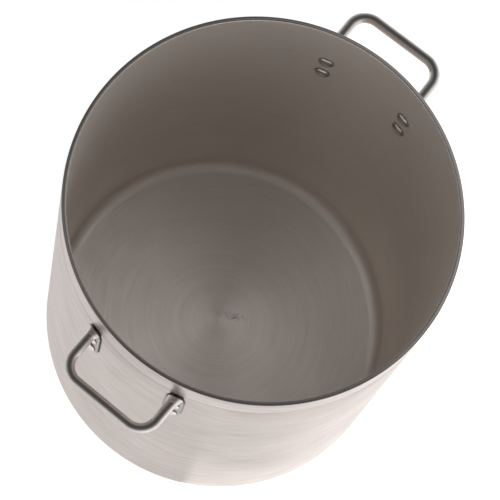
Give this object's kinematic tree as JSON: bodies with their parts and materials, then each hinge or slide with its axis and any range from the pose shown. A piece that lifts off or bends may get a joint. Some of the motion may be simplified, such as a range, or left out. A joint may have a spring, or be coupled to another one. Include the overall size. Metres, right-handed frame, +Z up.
{
  "type": "brew kettle",
  "caption": "Tall open-top cylindrical kettle in spun aluminium with a rounded base corner, a plain flat rim and level loop handles on riveted foot plates.",
  "frame": {"origin": "centre of the flat face the kettle rests on", "axes": "+Z up along the pot's axis, +X through the right handle, -Y to the front"},
  "size_m": [0.504, 0.4, 0.478],
  "materials": {
    "spun_aluminium": "satin, fine turning lines round the axis",
    "handle_rod": "satin drawn rod",
    "foot_plate": "satin, lightly pitted at the weld",
    "rivet": "satin, set by hand"
  },
  "bodies": {
    "root": {"kettle_body": "spun_aluminium", "handle_rod_right": "handle_rod", "handle_rod_left": "handle_rod", "foot_plate_right_front": "foot_plate", "foot_plate_right_back": "foot_plate", "foot_plate_left_front": "foot_plate", "foot_plate_left_back": "foot_plate", "rivet_right_front_upper": "rivet", "rivet_right_front_lower": "rivet", "rivet_right_back_upper": "rivet", "rivet_right_back_lower": "rivet", "rivet_left_front_upper": "rivet", "rivet_left_front_lower": "rivet", "rivet_left_back_upper": "rivet", "rivet_left_back_lower": "rivet"}
  },
  "joints": []
}
